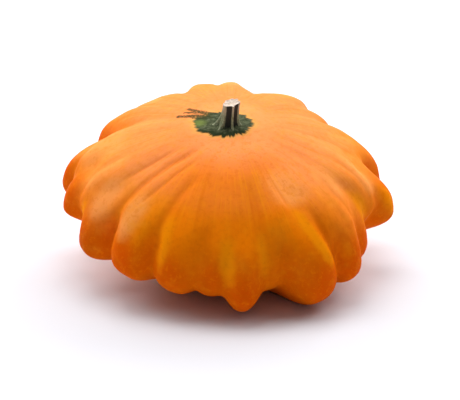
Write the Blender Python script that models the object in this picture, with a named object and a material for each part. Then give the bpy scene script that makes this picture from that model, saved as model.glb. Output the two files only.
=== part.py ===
"""Pattypan squash, as picked, resting on its underside.

One squash fruit and the short ribbed stem stub that stays on it.
Units are metres, +Z is up and the fruit's stem end leans towards -Y.
"""
import math

import bmesh
import bpy
import numpy as np
from mathutils import Euler, Vector

# ---------------------------------------------------------------- dimensions
OBJECT_NAME = "pattypan_squash"

# Plain disc of the fruit, before the lobes are raised on it
DISC_RADIUS = 0.0605        # radius at the rim, at the bottom of the valleys
DOME_HEIGHT = 0.0420        # rim plane to the stem end
BASE_DEPTH = 0.0395         # rim plane to the blossom end
DOME_POWER = 2.25           # superellipse power of the stem side
BASE_POWER = 1.65           # and of the blossom side, which is more conical

# How the fruit lies
LEAN = math.radians(14.0)   # stem end leans towards -Y
ROLL = math.radians(1.5)    # and a little towards +X
REST_DEPTH = 0.0345         # centre of the rim plane to the surface it lies on
REST_BLEND = 0.0025         # half height of the soft edge of the flat it lies on

# Stem stub
STEM_LENGTH = 0.0125
STEM_FOOT_RADIUS = 0.0056
STEM_NECK_RADIUS = 0.0039
STEM_TOP_RADIUS = 0.0040
STEM_RIBS = 5
STEM_RIB_DEPTH = 0.17       # depth of the grooves, as a share of the radius
STEM_LEAN = 0.06            # sideways run of the stub for its height, towards +X
STEM_GAP = 0.0003           # stem to skin

# Mesh density
FRUIT_SEGMENTS = 128
FRUIT_RINGS = 34
STEM_SEGMENTS = 60
STEM_CUTS = 8

# Lobes round the rim, counter-clockwise from +X seen from the stem end.
# name, direction (deg), reach (mm), half width (deg), flank power,
# latitude of the tip (deg, 90 is the rim plane and more is lower),
# thickness below the tip (deg), run of the ridge up the dome (deg),
# run of the valleys beside it up the dome (deg)
LOBES = [
    ("right", -5, 20.5, 8.0, 2.5, 91, 17, 24, 28),
    ("right_back", 15, 17.5, 6.5, 2.8, 96, 22, 34, 30),
    ("back_right_small", 45, 11.5, 7.0, 3.0, 94, 22, 30, 54),
    ("back_right", 59, 13.8, 7.5, 3.0, 88, 22, 32, 54),
    ("back", 89, 16.2, 6.5, 2.6, 88, 22, 32, 56),
    ("back_twin", 103, 15.4, 7.5, 2.6, 88, 22, 32, 54),
    ("back_left_broad", 130, 13.5, 14.0, 3.6, 90, 22, 32, 44),
    ("back_left", 147, 16.0, 6.5, 2.6, 92, 22, 32, 42),
    ("left", 171, 21.5, 6.5, 2.4, 94, 20, 27, 34),
    ("left_web", 180, 14.5, 8.0, 2.2, 83, 12, 32, 28),
    ("left_twin", 189, 19.0, 7.5, 2.4, 90, 12, 26, 26),
    ("left_front_web", 198, 13.5, 8.0, 2.2, 81, 12, 34, 26),
    ("left_front", 208, 17.5, 8.5, 3.0, 96, 17, 35, 36),
    ("front_left_broad", 229, 13.5, 10.0, 3.4, 92, 19, 38, 48),
    ("front_left", 249, 11.5, 9.5, 3.2, 91, 22, 38, 46),
    ("front_left_web", 264, 10.0, 9.0, 2.4, 90, 24, 38, 48),
    ("front_nose", 276.5, 17.0, 7.5, 2.2, 97, 20, 27, 42),
    ("front_right_web", 288, 7.5, 7.0, 2.2, 90, 21, 38, 48),
    ("front_right_broad", 305.5, 20.0, 10.5, 2.8, 97, 25, 38, 48),
    ("right_front", 321.5, 19.0, 6.5, 2.8, 96, 24, 36, 40),
    ("right_front_twin", 332, 13.5, 7.5, 3.0, 97, 24, 36, 34),
    ("right_web", 345, 12.0, 8.0, 2.2, 80, 12, 32, 28),
]
RIDGE_POWER = 1.8           # how the ridges fade up the dome
LOBE_JOIN = 4.0             # how sharply neighbouring lobes meet in the valleys
FLANK_SPREAD = 1.0          # lobes widen by this share up the dome, and run together
CREASE_START = 12.0         # height above the tip where that begins (deg)
TIP_TAPER = 0.18            # and they narrow by this share below the tip

SKIN_COLOUR = (0.83, 0.27, 0.035, 1.0)
STEM_COLOUR = (0.50, 0.52, 0.30, 1.0)


# ------------------------------------------------------------------- helpers
def smooth_step(x, low, high):
    t = np.clip((x - low) / (high - low), 0.0, 1.0)
    return t * t * (3.0 - 2.0 * t)


def lobe_height(lat, az):
    """How far the lobes stand off the plain disc, at a latitude and azimuth in degrees."""
    total = np.zeros(np.shape(lat))
    for _, direction, reach, width, flank, tip, below, ridge, crease in LOBES:
        side = (az - direction + 180.0) % 360.0 - 180.0
        along = lat - tip
        half = width * (1.0 + FLANK_SPREAD * smooth_step(-along, CREASE_START, crease)
                        - TIP_TAPER * smooth_step(along, -4.0, 18.0))
        across = np.exp(-math.log(2.0) * np.abs(side / half) ** flank)
        fade = np.where(along < 0.0,
                        np.exp(-np.abs(along / ridge) ** RIDGE_POWER),
                        np.exp(-np.abs(along / below) ** 2.0))
        total += (reach * 0.001 * across * fade) ** LOBE_JOIN
    return total ** (1.0 / LOBE_JOIN) * smooth_step(lat, 3.0, 24.0)


def fruit_surface(lat, az):
    """Point on the fruit in its own frame, with +Z along the stem."""
    s, c = np.sin(np.radians(lat)), np.cos(np.radians(lat))
    power = np.where(c >= 0.0, DOME_POWER, BASE_POWER)
    depth = np.where(c >= 0.0, DOME_HEIGHT, BASE_DEPTH)
    radius = DISC_RADIUS * np.abs(s) ** (2.0 / power)
    height = depth * np.sign(c) * np.abs(c) ** (2.0 / power)
    out_r, out_z = s / DISC_RADIUS, c / depth
    norm = np.hypot(out_r, out_z)
    lift = lobe_height(lat, az)
    radius = radius + lift * out_r / norm
    height = height + lift * out_z / norm
    a = np.radians(az)
    return np.stack([radius * np.cos(a), radius * np.sin(a), height], axis=-1)


def settle(points):
    """Press the underside flat where the fruit lies on a surface at z = 0."""
    z = points[:, 2] + REST_DEPTH
    b = REST_BLEND
    z = np.where(z < -b, 0.0, np.where(z > b, z, (z + b) ** 2 / (4.0 * b)))
    points[:, 2] = z
    return points


def principled(name, colour, roughness):
    mat = bpy.data.materials.new(name)
    mat.use_nodes = True
    shader = mat.node_tree.nodes["Principled BSDF"]
    shader.inputs["Base Color"].default_value = colour
    shader.inputs["Roughness"].default_value = roughness
    shader.inputs["Metallic"].default_value = 0.0
    mat.diffuse_color = colour
    return mat


def add_object(name, bm, mat, collection, parent):
    mesh = bpy.data.meshes.new(name)
    bm.normal_update()
    bm.to_mesh(mesh)
    bm.free()
    mesh.materials.append(mat)
    mesh.shade_smooth()
    mesh.set_sharp_from_angle(angle=math.radians(50.0))
    obj = bpy.data.objects.new(name, mesh)
    collection.objects.link(obj)
    obj.parent = parent
    return obj


# -------------------------------------------------------------------- pieces
def make_fruit(turn):
    """Sphere whose points are moved onto the lobed disc, tilted and settled."""
    bm = bmesh.new()
    bmesh.ops.create_uvsphere(bm, u_segments=FRUIT_SEGMENTS,
                              v_segments=FRUIT_RINGS, radius=1.0)
    bm.verts.ensure_lookup_table()
    unit = np.array([v.co for v in bm.verts], dtype=float)
    unit /= np.linalg.norm(unit, axis=1)[:, None]
    lat = np.degrees(np.arccos(np.clip(unit[:, 2], -1.0, 1.0)))
    az = np.degrees(np.arctan2(unit[:, 1], unit[:, 0]))
    points = settle(fruit_surface(lat, az) @ turn.T)

    # centre the outline over the origin
    shift = -0.5 * (points.min(axis=0) + points.max(axis=0))
    shift[2] = 0.0
    points += shift
    for vert, p in zip(bm.verts, points):
        vert.co = p

    # the pressed patch is one flat face
    flat = [f for f in bm.faces if all(abs(v.co.z) < 1e-7 for v in f.verts)]
    for f in flat:
        for v in f.verts:
            v.co.z = 0.0
    bmesh.ops.dissolve_faces(bm, faces=flat, use_verts=False)
    bmesh.ops.recalc_face_normals(bm, faces=bm.faces)
    return bm, shift


def stem_radius(t):
    """Radius of the stem stub at t = 0 (foot) to 1 (cut top)."""
    foot = STEM_FOOT_RADIUS - STEM_NECK_RADIUS
    top = STEM_TOP_RADIUS - STEM_NECK_RADIUS
    return STEM_NECK_RADIUS + foot * (1.0 - t) ** 4 + top * t ** 3


def make_stem():
    """Ribbed stub: a cylinder with rings added, then shaped ring by ring."""
    bm = bmesh.new()
    bmesh.ops.create_cone(bm, cap_ends=True, cap_tris=False, segments=STEM_SEGMENTS,
                          radius1=1.0, radius2=1.0, depth=1.0)
    uprights = [e for e in bm.edges
                if abs(e.verts[0].co.z - e.verts[1].co.z) > 0.5]
    bmesh.ops.subdivide_edges(bm, edges=uprights, cuts=STEM_CUTS)
    for v in bm.verts:
        t = v.co.z + 0.5
        az = math.atan2(v.co.y, v.co.x)
        wave = abs(math.cos(0.5 * STEM_RIBS * az)) ** 0.8
        r = stem_radius(t) * (1.0 - STEM_RIB_DEPTH * (1.0 - 0.45 * t) * (1.0 - wave))
        x, y = r * math.cos(az), r * math.sin(az)
        z = t * (STEM_LENGTH + 0.20 * x * t)      # slanting cut
        v.co = Vector((x + STEM_LEAN * z, y, z))
    bmesh.ops.recalc_face_normals(bm, faces=bm.faces)
    return bm


def main():
    for obj in list(bpy.data.objects):
        bpy.data.objects.remove(obj, do_unlink=True)

    collection = bpy.data.collections.new(OBJECT_NAME)
    bpy.context.scene.collection.children.link(collection)
    root = bpy.data.objects.new(OBJECT_NAME + "_origin", None)
    collection.objects.link(root)

    skin = principled("squash_skin", SKIN_COLOUR, 0.38)
    stalk = principled("stem_skin", STEM_COLOUR, 0.75)

    # the fruit leans about X first and then rolls about Y
    rot = Euler((LEAN, ROLL, 0.0), "XYZ")
    turn = np.array(rot.to_matrix(), dtype=float)

    bm, shift = make_fruit(turn)
    add_object("squash_fruit", bm, skin, collection, root)

    stem = add_object("stem_stub", make_stem(), stalk, collection, root)
    seat = turn @ np.array([0.0, 0.0, DOME_HEIGHT + STEM_GAP])
    stem.location = (seat[0] + shift[0], seat[1] + shift[1], seat[2] + REST_DEPTH)
    stem.rotation_euler = rot


main()
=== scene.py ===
"""Looks of the pattypan squash: fine fruit and stem meshes, their materials, floor, light and camera."""
import math

import bmesh
import bpy
import numpy as np
from mathutils import Euler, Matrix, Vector


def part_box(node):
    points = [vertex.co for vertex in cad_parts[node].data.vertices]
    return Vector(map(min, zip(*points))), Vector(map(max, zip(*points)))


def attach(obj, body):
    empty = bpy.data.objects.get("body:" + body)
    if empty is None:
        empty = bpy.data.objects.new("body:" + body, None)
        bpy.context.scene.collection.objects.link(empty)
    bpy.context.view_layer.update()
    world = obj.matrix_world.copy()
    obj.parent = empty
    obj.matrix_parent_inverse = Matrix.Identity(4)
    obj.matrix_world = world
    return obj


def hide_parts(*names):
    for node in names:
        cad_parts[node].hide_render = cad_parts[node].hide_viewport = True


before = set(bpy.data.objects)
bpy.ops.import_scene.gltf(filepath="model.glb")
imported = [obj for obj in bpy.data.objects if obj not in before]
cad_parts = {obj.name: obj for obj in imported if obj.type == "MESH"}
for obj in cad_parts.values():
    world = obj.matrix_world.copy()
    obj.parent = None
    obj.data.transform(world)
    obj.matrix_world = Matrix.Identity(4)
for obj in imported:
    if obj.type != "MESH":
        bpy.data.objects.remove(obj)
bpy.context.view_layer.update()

# ------------------------------------------------------------------ the fruit
DISC_RADIUS = 0.0605
DOME_HEIGHT = 0.0420
BASE_DEPTH = 0.0395
DOME_POWER = 2.25
BASE_POWER = 1.65
LEAN = math.radians(14.0)
ROLL = math.radians(1.5)
REST_DEPTH = 0.0345
REST_BLEND = 0.0025
FRUIT_SEGMENTS = 480
FRUIT_RINGS = 200

# name, direction, reach mm, half width, flank power, tip latitude, below, ridge, crease
LOBES = [
    ("right", -5, 20.5, 8.0, 2.5, 91, 17, 24, 28),
    ("right_back", 15, 17.5, 6.5, 2.8, 96, 22, 34, 30),
    ("back_right_small", 45, 11.5, 7.0, 3.0, 94, 22, 30, 54),
    ("back_right", 59, 13.8, 7.5, 3.0, 88, 22, 32, 54),
    ("back", 89, 16.2, 6.5, 2.6, 88, 22, 32, 56),
    ("back_twin", 103, 15.4, 7.5, 2.6, 88, 22, 32, 54),
    ("back_left_broad", 130, 13.5, 14.0, 3.6, 90, 22, 32, 44),
    ("back_left", 147, 16.0, 6.5, 2.6, 92, 22, 32, 42),
    ("left", 171, 21.5, 6.5, 2.4, 94, 20, 27, 34),
    ("left_web", 180, 14.5, 8.0, 2.2, 83, 12, 32, 28),
    ("left_twin", 189, 19.0, 7.5, 2.4, 90, 12, 26, 26),
    ("left_front_web", 198, 13.5, 8.0, 2.2, 81, 12, 34, 26),
    ("left_front", 208, 17.5, 8.5, 3.0, 96, 17, 35, 36),
    ("front_left_broad", 229, 13.5, 10.0, 3.4, 92, 19, 38, 48),
    ("front_left", 249, 11.5, 9.5, 3.2, 91, 22, 38, 46),
    ("front_left_web", 264, 10.0, 9.0, 2.4, 90, 24, 38, 48),
    ("front_nose", 276.5, 17.0, 7.5, 2.2, 97, 20, 27, 42),
    ("front_right_web", 288, 7.5, 7.0, 2.2, 90, 21, 38, 48),
    ("front_right_broad", 305.5, 20.0, 10.5, 2.8, 97, 25, 38, 48),
    ("right_front", 321.5, 19.0, 6.5, 2.8, 96, 24, 36, 40),
    ("right_front_twin", 332, 13.5, 7.5, 3.0, 97, 24, 36, 34),
    ("right_web", 345, 12.0, 8.0, 2.2, 80, 12, 32, 28),
]
RIDGE_POWER = 1.8
LOBE_JOIN = 4.0
FLANK_SPREAD = 1.0
CREASE_START = 12.0
TIP_TAPER = 0.18


# shallow grooves run up the dome from the valleys: (latitude, direction) along each,
# depth mm, half width mm
CREASES = [
    ([(17, 232), (34, 224), (50, 221), (66, 219), (84, 218)], 0.95, 2.0),
    ([(24, 215), (40, 213), (58, 210)], 0.45, 1.1),
    ([(22, 242), (36, 234), (50, 230), (62, 226)], 0.40, 1.0),
    ([(34, 247), (50, 243), (66, 241), (84, 242)], 0.90, 2.2),
    ([(30, 255), (46, 256), (60, 257)], 0.30, 1.3),
    ([(36, 283), (58, 284), (82, 286)], 0.90, 2.8),
    ([(58, 262), (72, 262), (88, 262)], 0.95, 4.5),
    ([(58, 309), (66, 310), (74, 311), (86, 313)], 1.60, 2.8),
    ([(30, 297), (44, 299), (56, 301)], 0.30, 1.2),
    ([(44, 328), (60, 326), (78, 327)], 0.60, 1.8),
    ([(46, 346), (64, 344), (80, 343)], 0.60, 2.2),
    ([(46, 197), (62, 196), (80, 196)], 0.55, 2.2),
    ([(50, 28), (66, 27), (80, 27)], 0.50, 2.4),
    ([(42, 74), (60, 73), (78, 73)], 0.60, 2.6),
    ([(44, 96), (62, 96), (80, 96)], 0.40, 1.6),
    ([(40, 117), (60, 115), (80, 114)], 0.60, 2.6),
    ([(46, 140), (64, 140), (80, 140)], 0.45, 1.8),
    ([(44, 161), (62, 160), (80, 160)], 0.60, 2.4),
]


# colour of the skin: bands and patches, as (latitude, direction) along each,
# half width mm, strength; several tables are painted light or painted shade, as noted above each
# yellower valleys: partly skin colour, partly painted light on flanks that face the side lights
YELLOW_AND_PAINTED_LIGHT = [
    ([(60, 220), (78, 217)], 2.2, 0.4),
    ([(58, 244), (84, 244)], 3.8, 1.0),
    ([(66, 270), (86, 270.5)], 4.2, 1.0),
    ([(64, 231), (78, 232)], 8.0, 0.5),
    ([(78, 317), (88, 318)], 4.0, 0.6),
    ([(76, 353), (90, 353)], 5.0, 0.9),
    ([(62, 284), (86, 285)], 3.4, 0.8),
    ([(56, 302), (70, 305), (84, 309)], 3.4, 1.0),
    ([(66, 337), (86, 338)], 4.6, 1.0),
    ([(74, 202), (88, 202)], 3.6, 0.9),
    ([(76, 9), (90, 10)], 6.0, 0.5),
    ([(60, 28), (86, 28)], 3.0, 0.8),
    ([(58, 73), (84, 73)], 3.0, 0.7),
    ([(58, 115), (84, 114)], 3.0, 0.8),
    ([(60, 160), (86, 160)], 3.2, 0.7),
]
# painted highlights and sheen on crests and slopes that face the lights
PAINTED_HIGHLIGHTS = [
    ([(46, 181), (72, 181)], 12.0, 0.9),
    ([(46, 172), (80, 172)], 5.0, 0.6),
    ([(46, 198), (74, 197)], 6.0, 0.8),
    ([(56, 209), (79, 210)], 6.5, 1.0),
    ([(54, 227), (78, 226)], 6.5, 1.0),
    ([(32, 305), (54, 306)], 10.0, 1.0),
    ([(40, 331), (64, 330)], 7.0, 0.8),
    ([(50, 348), (76, 348)], 6.0, 1.0),
    ([(46, 9), (66, 9)], 7.0, 0.8),
    ([(48, 60), (78, 59)], 5.0, 0.6),
    ([(48, 92), (78, 90)], 6.0, 0.7),
    ([(48, 131), (80, 130)], 6.5, 0.7),
]
# painted shade in shaded valleys, creases and under the lobes
PAINTED_SHADE = [
    ([(64, 310), (74, 311), (88, 313)], 2.8, 1.0),
    ([(54, 219), (80, 218)], 3.0, 0.3),
    ([(66, 261), (80, 262)], 5.0, 0.5),
    ([(74, 8), (92, 10)], 5.0, 0.6),
    ([(68, 293), (82, 294)], 6.0, 0.6),
    ([(82, 21), (96, 21)], 4.0, 0.6),
    ([(84, 209), (102, 209)], 8.0, 0.8),
    ([(84, 262), (96, 262)], 4.5, 0.5),
]


def painted(lat, az, r_axis, areas):
    """How strongly a set of colour bands shows at each point, 0 to 1."""
    total = np.zeros(np.shape(lat))
    for path, half, strength in areas:
        lats = [p[0] for p in path]
        centre = np.interp(lat, lats, [p[1] for p in path])
        side = np.radians((az - centre + 180.0) % 360.0 - 180.0)
        across = np.exp(-(side * r_axis / (half * 0.001)) ** 2)
        ends = (smooth_step(lat, lats[0] - 8.0, lats[0] + 10.0)
                * (1.0 - smooth_step(lat, lats[-1] - 6.0, lats[-1] + 8.0)))
        total = np.maximum(total, strength * across * ends * (np.abs(side) < 1.0))
    return total


def crease_depth(lat, az, r_axis):
    """Depth of the grooves, in metres, at each point."""
    depth = np.zeros(np.shape(lat))
    for path, deep, half in CREASES:
        lats = [p[0] for p in path]
        centre = np.interp(lat, lats, [p[1] for p in path])
        side = np.radians((az - centre + 180.0) % 360.0 - 180.0)
        across = np.exp(-(side * r_axis / (half * 0.001)) ** 2)
        ends = (smooth_step(lat, lats[0] - 4.0, lats[0] + 12.0)
                * (1.0 - smooth_step(lat, lats[-1] - 8.0, lats[-1] + 8.0)))
        depth += deep * 0.001 * across * ends * (np.abs(side) < 1.0)
    return depth


def smooth_step(x, low, high):
    t = np.clip((x - low) / (high - low), 0.0, 1.0)
    return t * t * (3.0 - 2.0 * t)


def lobe_parts(lat, az):
    """Height of the lobes, how near a point is to a ridge line, and to a lobe's tip."""
    total = np.zeros(np.shape(lat))
    ridge_line = np.zeros(np.shape(lat))
    at_tip = np.zeros(np.shape(lat))
    for name, direction, reach, width, flank, tip, below, ridge, crease in LOBES:
        side = (az - direction + 180.0) % 360.0 - 180.0
        along = lat - tip
        half = width * (1.0 + FLANK_SPREAD * smooth_step(-along, CREASE_START, crease)
                        - TIP_TAPER * smooth_step(along, -4.0, 18.0))
        across = np.exp(-math.log(2.0) * np.abs(side / half) ** flank)
        fade = np.where(along < 0.0,
                        np.exp(-np.abs(along / ridge) ** RIDGE_POWER),
                        np.exp(-np.abs(along / below) ** 2.0))
        total += (reach * 0.001 * across * fade) ** LOBE_JOIN
        strength = min(1.0, reach / 14.0)
        if name.endswith("web") and name != "front_left_web":
            continue
        at_rim = np.exp(-math.log(2.0) * np.abs(side / width) ** flank)
        ridge_line = np.maximum(ridge_line, strength * at_rim)
        at_tip = np.maximum(at_tip, strength * np.exp(-(side / (0.8 * width)) ** 2)
                            * np.exp(-((along + 4.0) / 13.0) ** 2))
    lift = total ** (1.0 / LOBE_JOIN) * smooth_step(lat, 3.0, 24.0)
    return lift, ridge_line, at_tip


def fruit_surface(lat, az):
    s, c = np.sin(np.radians(lat)), np.cos(np.radians(lat))
    power = np.where(c >= 0.0, DOME_POWER, BASE_POWER)
    depth = np.where(c >= 0.0, DOME_HEIGHT, BASE_DEPTH)
    radius = DISC_RADIUS * np.abs(s) ** (2.0 / power)
    height = depth * np.sign(c) * np.abs(c) ** (2.0 / power)
    out_r, out_z = s / DISC_RADIUS, c / depth
    norm = np.hypot(out_r, out_z)
    lift, ridge_line, at_tip = lobe_parts(lat, az)
    radius = radius + lift * out_r / norm
    height = height + lift * out_z / norm
    a = np.radians(az)
    points = np.stack([radius * np.cos(a), radius * np.sin(a), height], axis=-1)
    return points, lift, ridge_line, at_tip


# ------------------------------------------------------------------ 3-D noise
def lattice(ix, iy, iz, seed):
    h = (ix * 374761393 + iy * 668265263 + iz * 2147483647 + seed * 1274126177) & 0xFFFFFFFF
    h = ((h ^ (h >> 13)) * 1103515245) & 0xFFFFFFFF
    h = ((h ^ (h >> 16)) * 69069) & 0xFFFFFFFF
    return (h >> 8) / float(1 << 24) * 2.0 - 1.0


def value_noise(p, seed=0):
    """Smooth noise from -1 to 1 at points p."""
    base = np.floor(p).astype(np.int64)
    f = p - base
    f = f * f * f * (f * (f * 6.0 - 15.0) + 10.0)
    out = np.zeros(len(p))
    for dx in (0, 1):
        for dy in (0, 1):
            for dz in (0, 1):
                w = (np.where(dx, f[:, 0], 1 - f[:, 0]) * np.where(dy, f[:, 1], 1 - f[:, 1])
                     * np.where(dz, f[:, 2], 1 - f[:, 2]))
                out += w * lattice(base[:, 0] + dx, base[:, 1] + dy, base[:, 2] + dz, seed)
    return out


def put_float(mesh, name, values):
    layer = mesh.attributes.new(name, "FLOAT", "POINT")
    layer.data.foreach_set("value", np.asarray(values, dtype=np.float32))


def put_vector(mesh, name, values):
    layer = mesh.attributes.new(name, "FLOAT_VECTOR", "POINT")
    layer.data.foreach_set("vector", np.asarray(values, dtype=np.float32).ravel())


def vertex_array(mesh):
    co = np.zeros(len(mesh.vertices) * 3, dtype=np.float32)
    mesh.vertices.foreach_get("co", co)
    return co.reshape(-1, 3).astype(float)


def normal_array(mesh):
    no = np.zeros(len(mesh.vertices) * 3, dtype=np.float32)
    mesh.vertex_normals.foreach_get("vector", no)
    return no.reshape(-1, 3).astype(float)


ROT = Euler((LEAN, ROLL, 0.0), "XYZ")
TURN = np.array(ROT.to_matrix(), dtype=float)


def settle(points):
    z = points[:, 2] + REST_DEPTH
    b = REST_BLEND
    z = np.where(z < -b, 0.0, np.where(z > b, z, (z + b) ** 2 / (4.0 * b)))
    out = points.copy()
    out[:, 2] = z
    return out


def make_fruit():
    bm = bmesh.new()
    bmesh.ops.create_uvsphere(bm, u_segments=FRUIT_SEGMENTS,
                              v_segments=FRUIT_RINGS, radius=1.0)
    mesh = bpy.data.meshes.new("squash_skin_surface")
    bm.to_mesh(mesh)
    bm.free()
    unit = vertex_array(mesh)
    unit /= np.linalg.norm(unit, axis=1)[:, None]
    lat = np.degrees(np.arccos(np.clip(unit[:, 2], -1.0, 1.0)))
    az = np.degrees(np.arctan2(unit[:, 1], unit[:, 0]))
    local, lift, ridge_line, at_tip = fruit_surface(lat, az)

    # smooth form first, so that the relief can follow its normals
    world = local @ TURN.T
    mesh.vertices.foreach_set("co", world.astype(np.float32).ravel())
    mesh.update()
    normal = normal_array(mesh)

    # growth relief: broad lumps, long ribs down the meridians, small dents
    a = np.radians(az)
    around = np.stack([np.cos(a), np.sin(a)], axis=-1)
    mid = smooth_step(lat, 14.0, 40.0) * (1.0 - smooth_step(lat, 118.0, 150.0))
    relief = 0.00055 * value_noise(local * 38.0 + 5.0, 1)
    relief += 0.00028 * value_noise(local * 95.0 + 9.0, 2)
    ribs = np.stack([around[:, 0] * 7.0, around[:, 1] * 7.0, lat * 0.018], axis=-1)
    relief += 0.00030 * value_noise(ribs + 3.0, 3) * mid
    fine = np.stack([around[:, 0] * 19.0, around[:, 1] * 19.0, lat * 0.03], axis=-1)
    relief += 0.00009 * value_noise(fine + 7.0, 4) * mid
    relief += 0.00007 * value_noise(local * 330.0, 5)
    r_axis = np.hypot(local[:, 0], local[:, 1])
    relief -= crease_depth(lat, az, r_axis)
    # root ridges of the stem, running out over the green mark
    spokes = np.cos(9.0 * a + 1.4 * np.sin(2.0 * a)) * 0.5 + 0.5
    near = (lat < 60.0) * np.exp(-(r_axis / 0.0085) ** 2)
    relief += near * (0.00085 * np.exp(-(r_axis / 0.0062) ** 2) + 0.00045 * spokes)
    world = world + normal * relief[:, None]

    # the underside lies flat; the blossom scar is a shallow pit in it
    world = settle(world)
    shift = np.zeros(3)
    shift[:2] = 0.5 * (np.array(FRUIT_LOW[:2]) + np.array(FRUIT_HIGH[:2])
                       - world[:, :2].min(axis=0) - world[:, :2].max(axis=0))
    world += shift
    under = local[:, 2] < 0.0
    pit = np.where(under, r_axis, 1.0)
    world[:, 2] += 0.0013 * np.exp(-(pit / 0.0036) ** 4)
    world[:, 2] += 0.00045 * np.exp(-(pit / 0.0105) ** 2) * (0.6 + 0.4 * np.cos(5.0 * a))

    mesh.vertices.foreach_set("co", world.astype(np.float32).ravel())
    mesh.update()
    mesh.shade_smooth()
    put_vector(mesh, "fruit_mm", local * 1000.0)
    put_vector(mesh, "fruit_dir", np.stack([around[:, 0], around[:, 1], lat / 90.0], axis=-1))
    put_float(mesh, "ridge", ridge_line)
    put_float(mesh, "tip", at_tip)
    put_float(mesh, "lat", lat)
    put_float(mesh, "groove_shade_mask", np.clip(crease_depth(lat, az, r_axis) / 0.0009, 0.0, 1.0))
    # colour bands: yellower valleys with painted light on lit flanks, painted highlights, painted shade
    put_float(mesh, "yellow_and_painted_light", painted(lat, az, r_axis, YELLOW_AND_PAINTED_LIGHT))
    put_float(mesh, "painted_highlight", painted(lat, az, r_axis, PAINTED_HIGHLIGHTS))
    put_float(mesh, "deep", painted(lat, az, r_axis, PAINTED_SHADE))
    obj = bpy.data.objects.new("fruit_skin", mesh)
    bpy.context.scene.collection.objects.link(obj)
    return obj, shift


# ------------------------------------------------------------------- the stem
STEM_LENGTH = 0.0125
STEM_RADIUS = 0.0039
STEM_LEAN = 0.06
STEM_SEGMENTS = 288
STEM_RINGS = 72
# direction, half width, how far it stands out at the foot (mm), up the stem (mm),
# how high the foot runs up the stem (share of its length)
STEM_RIBS = [
    (180, 13, 5.0, 0.45, 0.34),
    (222, 10, 4.2, 0.60, 0.26),
    (208, 26, 1.6, 0.85, 0.30),
    (288, 8, 2.8, 0.85, 0.16),
    (358, 18, 2.8, 0.85, 0.16),
    (48, 15, 2.8, 0.80, 0.16),
    (92, 14, 2.6, 0.75, 0.16),
    (135, 15, 3.0, 0.80, 0.16),
]


def dome_height(r):
    """Height of the fruit's smooth stem end over its rim plane, at a distance from the axis."""
    return DOME_HEIGHT * (1.0 - (r / DISC_RADIUS) ** DOME_POWER) ** (1.0 / DOME_POWER)


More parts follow.
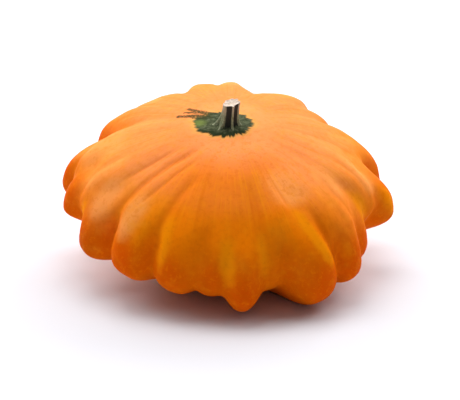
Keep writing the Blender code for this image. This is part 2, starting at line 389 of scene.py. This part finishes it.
def make_stem(shift):
    bm = bmesh.new()
    bmesh.ops.create_cone(bm, cap_ends=False, segments=STEM_SEGMENTS,
                          radius1=1.0, radius2=1.0, depth=1.0)
    uprights = [e for e in bm.edges if abs(e.verts[0].co.z - e.verts[1].co.z) > 0.5]
    bmesh.ops.subdivide_edges(bm, edges=uprights, cuts=STEM_RINGS)
    # cut face: rings of shrinking size, closed at the middle
    rim = [e for e in bm.edges if e.is_boundary and e.verts[0].co.z > 0.4]
    level = 1
    for share in (0.97, 0.92, 0.84, 0.72, 0.58, 0.42, 0.26, 0.12):
        out = bmesh.ops.extrude_edge_only(bm, edges=rim)["geom"]
        ring = [g for g in out if isinstance(g, bmesh.types.BMVert)]
        rim = [g for g in out if isinstance(g, bmesh.types.BMEdge) and g.is_boundary]
        for v in ring:
            d = math.hypot(v.co.x, v.co.y)
            v.co.x, v.co.y = v.co.x / d * share, v.co.y / d * share
            v.co.z = 0.5 + 0.01 * level
        level += 1
    out = bmesh.ops.extrude_edge_only(bm, edges=rim)["geom"]
    ring = [g for g in out if isinstance(g, bmesh.types.BMVert)]
    for v in ring:
        v.co.z = 0.5 + 0.01 * level
    bmesh.ops.pointmerge(bm, verts=ring, merge_co=Vector((0.0, 0.0, 0.5 + 0.01 * level)))
    # foot: closed with a fan hidden in the skin
    foot = [e for e in bm.edges if e.is_boundary]
    bmesh.ops.edgeloop_fill(bm, edges=foot)
    bmesh.ops.recalc_face_normals(bm, faces=bm.faces)
    mesh = bpy.data.meshes.new("stem_surface")
    bm.to_mesh(mesh)
    bm.free()

    raw = vertex_array(mesh)
    t = np.clip(raw[:, 2] + 0.5, 0.0, 1.0)
    inner = np.clip((raw[:, 2] - 0.5) / 0.01, 0.0, None)          # ring number on the cut
    share = np.where(inner > 0.5, np.hypot(raw[:, 0], raw[:, 1]), 1.0)
    az = np.degrees(np.arctan2(raw[:, 1], raw[:, 0]))
    az = np.where(share < 1e-6, 0.0, az)
    a = np.radians(az)
    # rings crowd towards the foot, where the ribs flare
    h = t ** 1.35
    rib = np.zeros(len(t))
    flare = np.zeros(len(t))
    for direction, half, foot_mm, up_mm, run in STEM_RIBS:
        side = (az - direction + 180.0) % 360.0 - 180.0
        side = side + 5.0 * (h - 0.4)
        across = np.exp(-math.log(2.0) * np.abs(side / half) ** 2.2)
        rib = np.maximum(rib, across * (0.35 + 0.65 * up_mm / 0.8))
        flare = np.maximum(flare, across * foot_mm * 0.001 * np.exp(-(h / run) ** 1.1)
                           + across * up_mm * 0.001)
    around = np.stack([np.cos(a), np.sin(a)], axis=-1)
    rough = value_noise(np.stack([around[:, 0] * 9.0, around[:, 1] * 9.0, h * 3.0], -1), 11)
    rough2 = value_noise(np.stack([around[:, 0] * 26.0, around[:, 1] * 26.0, h * 9.0], -1), 12)
    core = STEM_RADIUS - 0.00085 + 0.0006 * np.exp(-(h / 0.10)) + 0.00018 * smooth_step(h, 0.8, 1.0)
    radius = core + flare + 0.00012 * rough + 0.00006 * rough2
    radius = radius - 0.00016 * smooth_step(h, 0.965, 1.0) * (inner < 0.5)
    radius = radius * share
    x, y = radius * np.cos(a), radius * np.sin(a)
    length = STEM_LENGTH + 0.0
    z_top = length + 0.20 * x - 0.07 * y
    z = dome_height(np.hypot(x, y)) - 0.0006 + (z_top + 0.0006) * h
    z = np.where(h < 1e-9, dome_height(np.hypot(x, y)) - 0.0012, z)
    # the cut is dished, with a soft raised ring and a rough middle
    dish = np.where(inner > 0.5, 0.00012 - 0.00075 * (1.0 - share ** 2), 0.0)
    z = z + dish + np.where(inner > 0.5, 0.00010 * value_noise(
        np.stack([x * 1500.0, y * 1500.0, x * 0.0], -1), 13), 0.0)
    rise = z - DOME_HEIGHT
    x = x + STEM_LEAN * np.clip(rise, 0.0, None)
    local = np.stack([x, y, z], axis=-1)
    world = local @ TURN.T + np.array([0.0, 0.0, REST_DEPTH]) + shift
    mesh.vertices.foreach_set("co", world.astype(np.float32).ravel())
    mesh.update()
    mesh.shade_smooth()
    mesh.set_sharp_from_angle(angle=math.radians(60.0))
    put_float(mesh, "rib", rib)
    put_float(mesh, "rise", h)
    put_float(mesh, "cut", np.where(inner > 0.5, 1.0, 0.0))
    put_vector(mesh, "stem_mm", local * 1000.0)
    obj = bpy.data.objects.new("stem", mesh)
    bpy.context.scene.collection.objects.link(obj)
    return obj


# ------------------------------------------------------------------ materials
class Graph:
    """Short names for building a node tree."""

    def __init__(self, name):
        self.mat = bpy.data.materials.new(name)
        self.mat.use_nodes = True
        self.tree = self.mat.node_tree
        self.shader = self.tree.nodes["Principled BSDF"]

    def node(self, kind, **settings):
        n = self.tree.nodes.new(kind)
        for key, value in settings.items():
            setattr(n, key, value)
        return n

    def feed(self, socket, value):
        if hasattr(value, "is_output"):
            self.tree.links.new(value, socket)
        else:
            socket.default_value = value

    def attr(self, name, vector=False):
        n = self.node("ShaderNodeAttribute", attribute_name=name)
        return n.outputs["Vector" if vector else "Fac"]

    def math(self, op, a, b=None, c=None, clamp=False):
        n = self.node("ShaderNodeMath", operation=op, use_clamp=clamp)
        for socket, value in zip(n.inputs, (a, b, c)):
            if value is not None:
                self.feed(socket, value)
        return n.outputs[0]

    def vec(self, op, a, b=None, scale=None):
        n = self.node("ShaderNodeVectorMath", operation=op)
        self.feed(n.inputs[0], a)
        if b is not None:
            self.feed(n.inputs[1], b)
        if scale is not None:
            self.feed(n.inputs["Scale"], scale)
        return n.outputs["Value" if op in ("LENGTH", "DOT_PRODUCT", "DISTANCE") else "Vector"]

    def step(self, value, low, high, to_low=0.0, to_high=1.0):
        n = self.node("ShaderNodeMapRange", interpolation_type="SMOOTHSTEP")
        self.feed(n.inputs["Value"], value)
        self.feed(n.inputs["From Min"], low)
        self.feed(n.inputs["From Max"], high)
        self.feed(n.inputs["To Min"], to_low)
        self.feed(n.inputs["To Max"], to_high)
        return n.outputs["Result"]

    def noise(self, vector, scale=1.0, detail=2.0, rough=0.5, distort=0.0):
        n = self.node("ShaderNodeTexNoise")
        self.feed(n.inputs["Vector"], vector)
        n.inputs["Scale"].default_value = scale
        n.inputs["Detail"].default_value = detail
        n.inputs["Roughness"].default_value = rough
        n.inputs["Distortion"].default_value = distort
        return n.outputs["Fac"]

    def cells(self, vector, scale, feature="F1"):
        n = self.node("ShaderNodeTexVoronoi", feature=feature)
        self.feed(n.inputs["Vector"], vector)
        n.inputs["Scale"].default_value = scale
        return n.outputs["Distance"], n.outputs["Color"]

    def mix(self, factor, a, b):
        n = self.node("ShaderNodeMix", data_type="RGBA", blend_type="MIX", clamp_factor=True)
        self.feed(n.inputs[0], factor)
        self.feed(n.inputs[6], a)
        self.feed(n.inputs[7], b)
        return n.outputs[2]

    def split(self, vector):
        n = self.node("ShaderNodeSeparateXYZ")
        self.feed(n.inputs[0], vector)
        return n.outputs

    def join(self, x, y, z):
        n = self.node("ShaderNodeCombineXYZ")
        for socket, value in zip(n.inputs, (x, y, z)):
            self.feed(socket, value)
        return n.outputs[0]

    def segment(self, point, start, end, wide, narrow):
        """1 near the line from start to end, which tapers from wide to narrow half width."""
        along = (end[0] - start[0], end[1] - start[1], 0.0)
        length2 = along[0] ** 2 + along[1] ** 2
        rel = self.vec("SUBTRACT", point, (start[0], start[1], 0.0))
        t = self.math("DIVIDE", self.vec("DOT_PRODUCT", rel, along), length2, clamp=True)
        off = self.vec("SUBTRACT", rel, self.vec("SCALE", along, scale=t))
        dist = self.vec("LENGTH", off)
        half = self.step(t, 0.0, 1.0, wide, narrow)
        return self.step(self.math("DIVIDE", dist, half), 0.35, 1.15, 1.0, 0.0)


def rgb(r, g, b):
    return (r, g, b, 1.0)


def skin_material():
    g = Graph("squash_skin_fine")
    mm = g.attr("fruit_mm", True)
    way = g.attr("fruit_dir", True)
    ridge = g.attr("ridge")
    tip = g.attr("tip")
    lat = g.attr("lat")
    yellow_and_painted_light = g.attr("yellow_and_painted_light")
    painted_highlight = g.attr("painted_highlight")
    # painted shade bands in valleys and under the lobes
    deep = g.attr("deep")
    x, y, z = g.split(mm)
    wx, wy, wl = g.split(way)

    # ground colours: dome top paler (part skin colour, part painted sheen), front deeper and sides paler
    # (painted shade and sheen), low side darker (part skin colour, part painted shade), yellower valleys, red
    # lobe tips
    broad = g.noise(mm, 0.035, 3.0, 0.55)
    small = g.noise(mm, 0.22, 4.0, 0.6)
    drift = g.math("ADD", lat, g.math("MULTIPLY", g.math("SUBTRACT", broad, 0.5), 26.0))
    colour = g.mix(g.step(drift, 8.0, 24.0), rgb(0.93, 0.315, 0.100), rgb(0.91, 0.268, 0.078))
    colour = g.mix(g.step(drift, 22.0, 58.0), colour, rgb(0.90, 0.268, 0.062))
    behind = g.math("MULTIPLY", g.step(wy, 0.10, 0.60), g.step(lat, 14.0, 28.0))
    colour = g.mix(g.math("MULTIPLY", behind, 0.6), colour, rgb(0.86, 0.230, 0.062))
    # deeper orange at the front middle and lower front, which face away from the lights: painted shade
    front = g.math("MULTIPLY", g.step(wy, -0.62, -0.95), g.step(lat, 16.0, 36.0))
    colour = g.mix(g.math("MULTIPLY", front, 0.85), colour, rgb(0.86, 0.190, 0.008))
    # sides paler than the front: painted sheen
    side = g.step(wy, -0.80, -0.45)
    flank = g.mix(side, rgb(0.90, 0.205, 0.002), rgb(0.92, 0.250, 0.032))
    colour = g.mix(g.step(drift, 48.0, 70.0), colour, flank)
    low_front = g.math("MULTIPLY", front, g.step(lat, 46.0, 60.0))
    colour = g.mix(g.math("MULTIPLY", low_front, 0.80), colour, rgb(0.89, 0.200, 0.0008))
    # darker low down on the side: part skin colour, part painted shade
    colour = g.mix(g.step(drift, 66.0, 90.0), colour, rgb(0.77, 0.130, 0.0006))
    valley = g.math("SUBTRACT", 1.0, g.step(ridge, 0.12, 0.70))
    valley = g.math("MULTIPLY", valley, g.step(lat, 48.0, 76.0))
    colour = g.mix(g.math("MULTIPLY", valley, 0.30), colour, rgb(0.90, 0.230, 0.002))
    tip_edge = g.math("ADD", tip, g.math("MULTIPLY", g.math("SUBTRACT", small, 0.5), 0.5))
    colour = g.mix(g.math("MULTIPLY", g.step(tip_edge, 0.25, 0.95), 0.9),
                   colour, rgb(0.76, 0.092, 0.0005))
    shift = g.math("MULTIPLY", g.math("SUBTRACT", small, 0.5), 0.5)
    # painted highlight on lit crests and slopes
    patch = g.step(g.math("ADD", painted_highlight, shift), 0.15, 0.95)
    colour = g.mix(g.math("MULTIPLY", patch, 0.80), colour, rgb(0.97, 0.345, 0.088))
    # painted shade in shaded valleys and under the lobes
    patch = g.step(g.math("ADD", deep, shift), 0.15, 0.95)
    colour = g.mix(g.math("MULTIPLY", patch, 0.75), colour, rgb(0.56, 0.095, 0.0008))
    # yellower valleys, partly painted light on lit flanks
    patch = g.step(g.math("ADD", yellow_and_painted_light, shift), 0.15, 0.90)
    colour = g.mix(g.math("MULTIPLY", patch, 0.85), colour, rgb(0.96, 0.285, 0.002))

    # fine mottling: spots of 2 to 4 mm, a little deeper or paler
    spots = g.noise(mm, 0.42, 3.0, 0.65)
    high = g.math("MULTIPLY", side, g.step(lat, 60.0, 78.0, 1.0, 0.0))
    colour = g.mix(g.math("MULTIPLY", g.step(spots, 0.50, 0.34), 0.34), colour,
                   g.mix(high, rgb(0.74, 0.145, 0.0015), rgb(0.82, 0.205, 0.022)))
    colour = g.mix(g.math("MULTIPLY", g.step(spots, 0.52, 0.70), 0.34), colour,
                   g.mix(high, rgb(0.96, 0.255, 0.004), rgb(0.99, 0.345, 0.090)))

    # underside: yellower, with a pale patch where it lay
    below = g.step(lat, 112.0, 150.0)
    colour = g.mix(g.math("MULTIPLY", below, 0.6), colour, rgb(0.86, 0.36, 0.045))
    lay = g.vec("LENGTH", g.vec("SUBTRACT", mm, (1.0, -4.0, -36.0)))
    lay = g.math("ADD", lay, g.math("MULTIPLY", g.math("SUBTRACT", small, 0.5), 16.0))
    colour = g.mix(g.math("MULTIPLY", g.step(lay, 12.0, 27.0, 1.0, 0.0), 0.7),
                   colour, rgb(0.83, 0.50, 0.16))

    # mottling, long streaks down the meridians, a faint olive cast in places
    colour = g.mix(g.math("MULTIPLY", g.step(small, 0.45, 0.75), 0.26), colour,
                   g.mix(side, rgb(0.93, 0.28, 0.006), rgb(0.93, 0.30, 0.024)))
    colour = g.mix(g.math("MULTIPLY", g.step(broad, 0.52, 0.72), 0.12), colour, rgb(0.66, 0.34, 0.02))
    run = g.join(g.math("MULTIPLY", wx, 26.0), g.math("MULTIPLY", wy, 26.0), g.math("MULTIPLY", wl, 1.7))
    streak = g.noise(run, 1.0, 3.0, 0.6, 0.3)
    run2 = g.join(g.math("MULTIPLY", wx, 70.0), g.math("MULTIPLY", wy, 70.0), g.math("MULTIPLY", wl, 4.0))
    streak2 = g.noise(run2, 1.0, 2.0, 0.5, 0.2)
    window = g.math("MULTIPLY", g.step(lat, 14.0, 34.0), g.step(lat, 54.0, 76.0, 1.0, 0.10))
    colour = g.mix(g.math("MULTIPLY", g.math("MULTIPLY", g.step(streak, 0.52, 0.70), window), 0.34),
                   colour, g.mix(side, rgb(0.95, 0.31, 0.006), rgb(0.95, 0.35, 0.045)))
    colour = g.mix(g.math("MULTIPLY", g.math("MULTIPLY", g.step(streak, 0.46, 0.30), window), 0.35),
                   colour, rgb(0.84, 0.19, 0.004))
    colour = g.mix(g.math("MULTIPLY", g.math("MULTIPLY", g.step(streak2, 0.56, 0.72), window), 0.22),
                   colour, g.mix(side, rgb(0.96, 0.34, 0.008), rgb(0.96, 0.38, 0.050)))

    # painted shade along the grooves, stronger high on the dome
    painted_groove_shade = g.math("MULTIPLY", g.attr("groove_shade_mask"), g.step(lat, 60.0, 74.0, 1.0, 0.2))
    painted_groove_shade = g.math("MULTIPLY", painted_groove_shade, g.step(streak, 0.30, 0.60, 1.0, 0.45))
    colour = g.mix(g.math("MULTIPLY", painted_groove_shade, 0.60), colour, rgb(0.80, 0.165, 0.004))

    # pale pores
    dots, _ = g.cells(mm, 0.42)
    dot = g.math("MULTIPLY", g.step(dots, 0.10, 0.24, 1.0, 0.0), g.step(small, 0.35, 0.6))
    dot = g.math("MULTIPLY", dot, g.step(lat, 56.0, 80.0, 1.0, 0.25))
    colour = g.mix(g.math("MULTIPLY", dot, 0.20), colour, rgb(0.95, 0.34, 0.020))

    # grey-green mark round the stem, with a ragged edge and thin corky lines
    flat = g.join(x, y, 0.0)
    top = g.step(lat, 45.0, 60.0, 1.0, 0.0)
    ring = g.vec("LENGTH", g.join(g.math("DIVIDE", g.math("ADD", x, 2.6), 14.0),
                                  g.math("DIVIDE", g.math("SUBTRACT", y, 1.2), 10.6), 0.0))
    spread = g.join(g.math("MULTIPLY", wx, 3.0), g.math("MULTIPLY", wy, 3.0), 0.0)
    rag = g.math("MULTIPLY", g.math("SUBTRACT", g.noise(spread, 1.0, 2.0, 0.5), 0.5), 0.55)
    spike = g.join(g.math("MULTIPLY", wx, 12.0), g.math("MULTIPLY", wy, 12.0), g.math("MULTIPLY", wl, 3.0))
    spiky = g.noise(spike, 1.0, 2.0, 0.55)
    rag = g.math("ADD", rag, g.math("MULTIPLY", g.math("SUBTRACT", spiky, 0.5), 0.24))
    edge = g.math("ADD", ring, rag)
    mark = g.math("MULTIPLY", g.step(edge, 0.93, 1.06, 1.0, 0.0), top)
    halo = g.math("MULTIPLY", g.step(edge, 0.98, 1.25, 1.0, 0.0), top)
    colour = g.mix(g.math("MULTIPLY", halo, 0.45), colour, rgb(0.62, 0.42, 0.08))
    green = g.mix(g.step(g.noise(mm, 0.55, 3.0, 0.6), 0.38, 0.66),
                  rgb(0.052, 0.062, 0.032), rgb(0.125, 0.140, 0.076))
    spokes = g.join(g.math("MULTIPLY", wx, 17.0), g.math("MULTIPLY", wy, 17.0), g.math("MULTIPLY", wl, 2.0))
    green = g.mix(g.math("MULTIPLY", g.step(g.noise(spokes, 1.0, 2.0, 0.5), 0.5, 0.66), 0.5),
                  green, rgb(0.024, 0.030, 0.016))
    left = g.vec("LENGTH", g.join(g.math("DIVIDE", g.math("ADD", x, 14.2), 3.8),
                                  g.math("DIVIDE", g.math("SUBTRACT", y, 1.6), 3.4), 0.0))
    left = g.step(g.math("ADD", left, g.math("MULTIPLY", rag, 1.5)), 0.1, 1.35, 1.0, 0.0)
    green = g.mix(g.math("MULTIPLY", left, 0.8), green, rgb(0.165, 0.215, 0.050))
    front = g.math("MULTIPLY", g.step(y, -1.5, -6.0), g.step(edge, 0.62, 0.84))
    green = g.mix(g.math("MULTIPLY", front, 0.9), green, rgb(0.022, 0.032, 0.013))
    colour = g.mix(mark, colour, green)
    wob = g.vec("SCALE", g.join(g.math("SUBTRACT", g.noise(mm, 0.3), 0.5),
                                g.math("SUBTRACT", g.noise(mm, 0.5), 0.5), 0.0), scale=1.6)
    place = g.vec("ADD", flat, wob)
    lines = None
    for start, end, wide, narrow in (
        ((-10.0, 7.4), (-24.2, 9.6), 2.8, 1.5),
        ((-9.5, 9.6), (-19.4, 16.0), 2.4, 1.4),
        ((-14.5, 12.0), (-21.4, 12.6), 1.6, 1.0),
        ((-11.0, 5.4), (-17.5, 6.6), 1.1, 0.6),
    ):
        one = g.segment(place, start, end, wide, narrow)
        lines = one if lines is None else g.math("MAXIMUM", lines, one)
    lines = g.math("MULTIPLY", lines, top)
    lines = g.math("MULTIPLY", lines, g.step(g.noise(mm, 0.9, 2.0), 0.30, 0.5, 0.45, 1.0))
    colour = g.mix(g.math("MULTIPLY", lines, 0.92), colour, rgb(0.050, 0.054, 0.022))

    # corky blossom scar underneath
    bottom = g.step(z, -20.0, -30.0)
    disc = g.vec("LENGTH", flat)
    disc = g.math("ADD", disc, g.math("MULTIPLY", g.math("SUBTRACT", g.noise(mm, 0.8, 3.0), 0.5), 2.6))
    scar = g.math("MULTIPLY", g.step(disc, 4.4, 6.0, 1.0, 0.0), bottom)
    cork = g.mix(g.noise(mm, 1.6, 4.0, 0.7), rgb(0.16, 0.085, 0.035), rgb(0.46, 0.30, 0.15))
    cork = g.mix(g.step(disc, 1.6, 2.8, 1.0, 0.0), cork, rgb(0.060, 0.032, 0.016))
    colour = g.mix(scar, colour, cork)

    g.feed(g.shader.inputs["Base Color"], colour)

    # waxy skin, duller on cork, mark and scar
    rough = g.step(g.noise(mm, 0.16, 3.0, 0.6), 0.3, 0.7, 0.36, 0.48)
    dull = g.math("MAXIMUM", g.math("MAXIMUM", mark, scar), lines)
    rough = g.math("ADD", rough, g.math("MULTIPLY", dull, 0.28), clamp=True)
    g.feed(g.shader.inputs["Roughness"], rough)

    # fine relief: pores, skin grain, streak ridges, crackle in the mark
    grain = g.math("MULTIPLY", g.noise(mm, 1.5, 4.0, 0.6), 0.30)
    grain = g.math("ADD", grain, g.math("MULTIPLY", streak2, 0.50))
    grain = g.math("SUBTRACT", grain, g.math("MULTIPLY", dot, 0.25))
    crack = g.math("MULTIPLY", g.noise(spokes, 1.6, 4.0, 0.7), dull)
    grain = g.math("ADD", grain, crack)
    bump = g.node("ShaderNodeBump")
    bump.inputs["Strength"].default_value = 0.55
    bump.inputs["Distance"].default_value = 0.00025
    g.feed(bump.inputs["Height"], grain)
    g.feed(g.shader.inputs["Normal"], bump.outputs[0])
    g.shader.inputs["Specular IOR Level"].default_value = 0.004
    return g.mat


def stem_material():
    g = Graph("stem_fine")
    mm = g.attr("stem_mm", True)
    rib = g.attr("rib")
    rise = g.attr("rise")
    cut = g.attr("cut")
    fibre = g.noise(g.vec("MULTIPLY", mm, (1.5, 1.5, 0.16)), 1.0, 3.0, 0.6)
    grain = g.noise(mm, 1.3, 4.0, 0.6)
    colour = g.mix(g.step(grain, 0.35, 0.65), rgb(0.17, 0.20, 0.105), rgb(0.36, 0.37, 0.22))
    colour = g.mix(g.step(rise, 0.45, 0.95), colour, rgb(0.46, 0.40, 0.27))
    colour = g.mix(g.math("MULTIPLY", g.step(fibre, 0.52, 0.68), 0.5), colour, rgb(0.20, 0.20, 0.10))
    # near-black painted shade in the grooves between the stem's ribs
    groove_shade_mask = g.step(g.math("ADD", rib, g.math("MULTIPLY", g.math("SUBTRACT", grain, 0.5), 0.15)),
                    0.34, 0.66, 1.0, 0.0)
    colour = g.mix(g.math("MULTIPLY", groove_shade_mask, 0.97), colour, rgb(0.008, 0.009, 0.006))
    face = g.mix(g.step(g.noise(mm, 1.1, 4.0, 0.65), 0.35, 0.65), rgb(0.50, 0.38, 0.28), rgb(0.74, 0.62, 0.53))
    r = g.vec("LENGTH", g.vec("MULTIPLY", mm, (1.0, 1.0, 0.0)))
    face = g.mix(g.math("MULTIPLY", g.step(r, 1.3, 0.5), 0.35), face, rgb(0.40, 0.28, 0.16))
    colour = g.mix(cut, colour, face)
    g.feed(g.shader.inputs["Base Color"], colour)
    g.shader.inputs["Roughness"].default_value = 0.72
    bump = g.node("ShaderNodeBump")
    bump.inputs["Strength"].default_value = 0.7
    bump.inputs["Distance"].default_value = 0.0003
    g.feed(bump.inputs["Height"], g.math("ADD", fibre, g.math("MULTIPLY", grain, 0.5)))
    g.feed(g.shader.inputs["Normal"], bump.outputs[0])
    g.shader.inputs["Specular IOR Level"].default_value = 0.35
    return g.mat


# ---------------------------------------------------------------------- build
FRUIT_LOW, FRUIT_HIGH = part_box("squash_fruit")
fruit, SHIFT = make_fruit()
fruit.data.materials.append(skin_material())
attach(fruit, "root")
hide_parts("squash_fruit")

stem = make_stem(SHIFT)
stem.data.materials.append(stem_material())
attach(stem, "root")
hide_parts("stem_stub")

# ------------------------------------------------------- floor, light, camera
scene = bpy.context.scene
rim_centre = Vector((SHIFT[0], SHIFT[1], REST_DEPTH))

bpy.ops.mesh.primitive_plane_add(size=8.0, location=(0.0, 1.5, 0.0))
floor = bpy.context.object
floor.name = "floor"
floor_mat = bpy.data.materials.new("floor_white")
floor_mat.use_nodes = True
shader = floor_mat.node_tree.nodes["Principled BSDF"]
shader.inputs["Base Color"].default_value = (0.73, 0.735, 0.775, 1.0)
shader.inputs["Roughness"].default_value = 0.9
shader.inputs["Specular IOR Level"].default_value = 0.1
floor.data.materials.append(floor_mat)

world = bpy.data.worlds.new("studio")
scene.world = world
world.use_nodes = True
world.node_tree.nodes["Background"].inputs["Color"].default_value = (1.0, 0.98, 1.0, 1.0)
world.node_tree.nodes["Background"].inputs["Strength"].default_value = 0.17


def softbox(name, place, wide, high, power):
    """A rectangular soft light which faces the fruit."""
    light = bpy.data.lights.new(name, "AREA")
    light.shape = "RECTANGLE"
    light.size = wide
    light.size_y = high
    light.energy = power
    box = bpy.data.objects.new(name, light)
    scene.collection.objects.link(box)
    box.location = place
    box.rotation_mode = "QUATERNION"
    box.rotation_quaternion = (-Vector(place)).to_track_quat("-Z", "Y")


softbox("overhead", (-0.10, 0.30, 1.50), 0.90, 0.80, 12.5)
softbox("left", (-1.07, 0.12, 0.92), 1.0, 0.9, 3.6)
softbox("left_high", (-0.80, 0.10, 1.30), 0.9, 0.8, 5.0)
softbox("left_back", (-0.95, 0.90, 0.90), 1.0, 0.9, 6.0)
softbox("right_high", (0.80, 0.10, 1.30), 0.9, 0.8, 5.2)
softbox("right_back", (0.95, 0.90, 0.90), 1.0, 0.9, 12.5)
softbox("behind", (0.0, 1.70, 0.90), 2.0, 1.2, 19.0)

ELEVATION = math.radians(23.0)
DISTANCE = 0.85
FOCAL_PX = 329.0 / 0.160 * DISTANCE
cam = bpy.data.cameras.new("camera")
cam.sensor_fit = "HORIZONTAL"
cam.sensor_width = 36.0
cam.lens = FOCAL_PX / 460.0 * 36.0
cam.clip_start = 0.01
cam_obj = bpy.data.objects.new("camera", cam)
scene.collection.objects.link(cam_obj)
back = Vector((0.0, -math.cos(ELEVATION), math.sin(ELEVATION)))
up = Vector((0.0, math.sin(ELEVATION), math.cos(ELEVATION)))
per_px = DISTANCE / FOCAL_PX
aim = rim_centre + Vector((1.0, 0.0, 0.0)) * (230.0 - 227.0) * per_px - up * (200.0 - 196.0) * per_px
cam_obj.location = aim + back * DISTANCE
cam_obj.rotation_mode = "QUATERNION"
cam_obj.rotation_quaternion = (-back).to_track_quat("-Z", "Y")
scene.camera = cam_obj
scene.view_settings.view_transform = "Standard"
